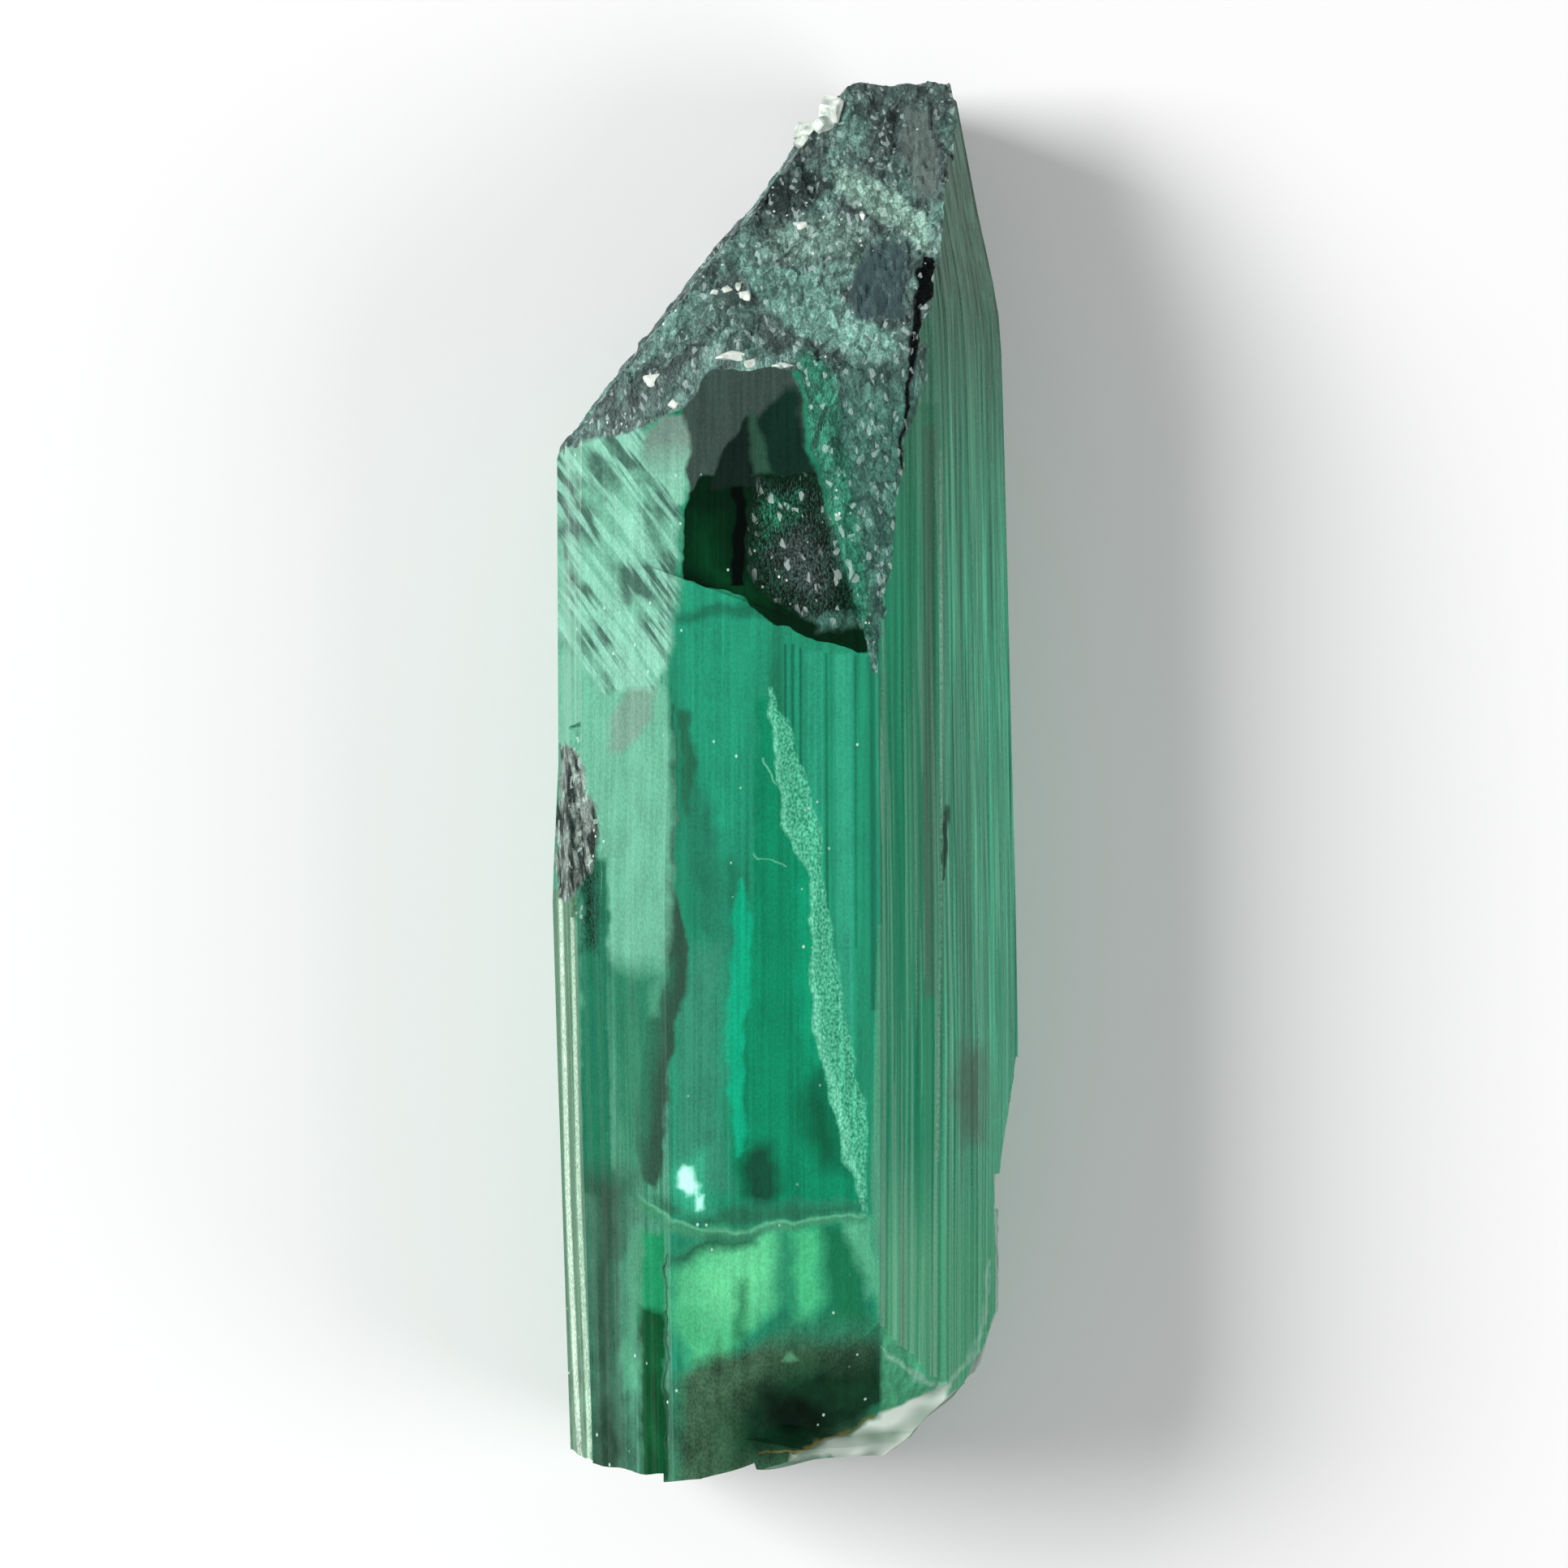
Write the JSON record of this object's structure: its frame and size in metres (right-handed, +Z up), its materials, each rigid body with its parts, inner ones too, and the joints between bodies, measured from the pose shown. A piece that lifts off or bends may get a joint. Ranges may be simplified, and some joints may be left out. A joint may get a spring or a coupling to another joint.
{
  "type": "rough tourmaline crystal",
  "caption": "Rough green tourmaline crystal: a ridged, see-through prism with an etched pointed end and a broken root, lying on its flat back face.",
  "frame": {"origin": "middle of the bounding box's underside, on the plane of the flat back face that the crystal rests on", "axes": "+Y along the growth axis towards the pointed etched end, +Z up out of the clear front face, +X towards the ridged right flank"},
  "size_m": [0.01, 0.0302, 0.0082],
  "materials": {
    "green_tourmaline": "clear green crystal with growth ridges; etched and frosted at the pointed end, glassy on the breaks"
  },
  "bodies": {
    "root": {"tourmaline_crystal": "green_tourmaline"}
  },
  "joints": []
}
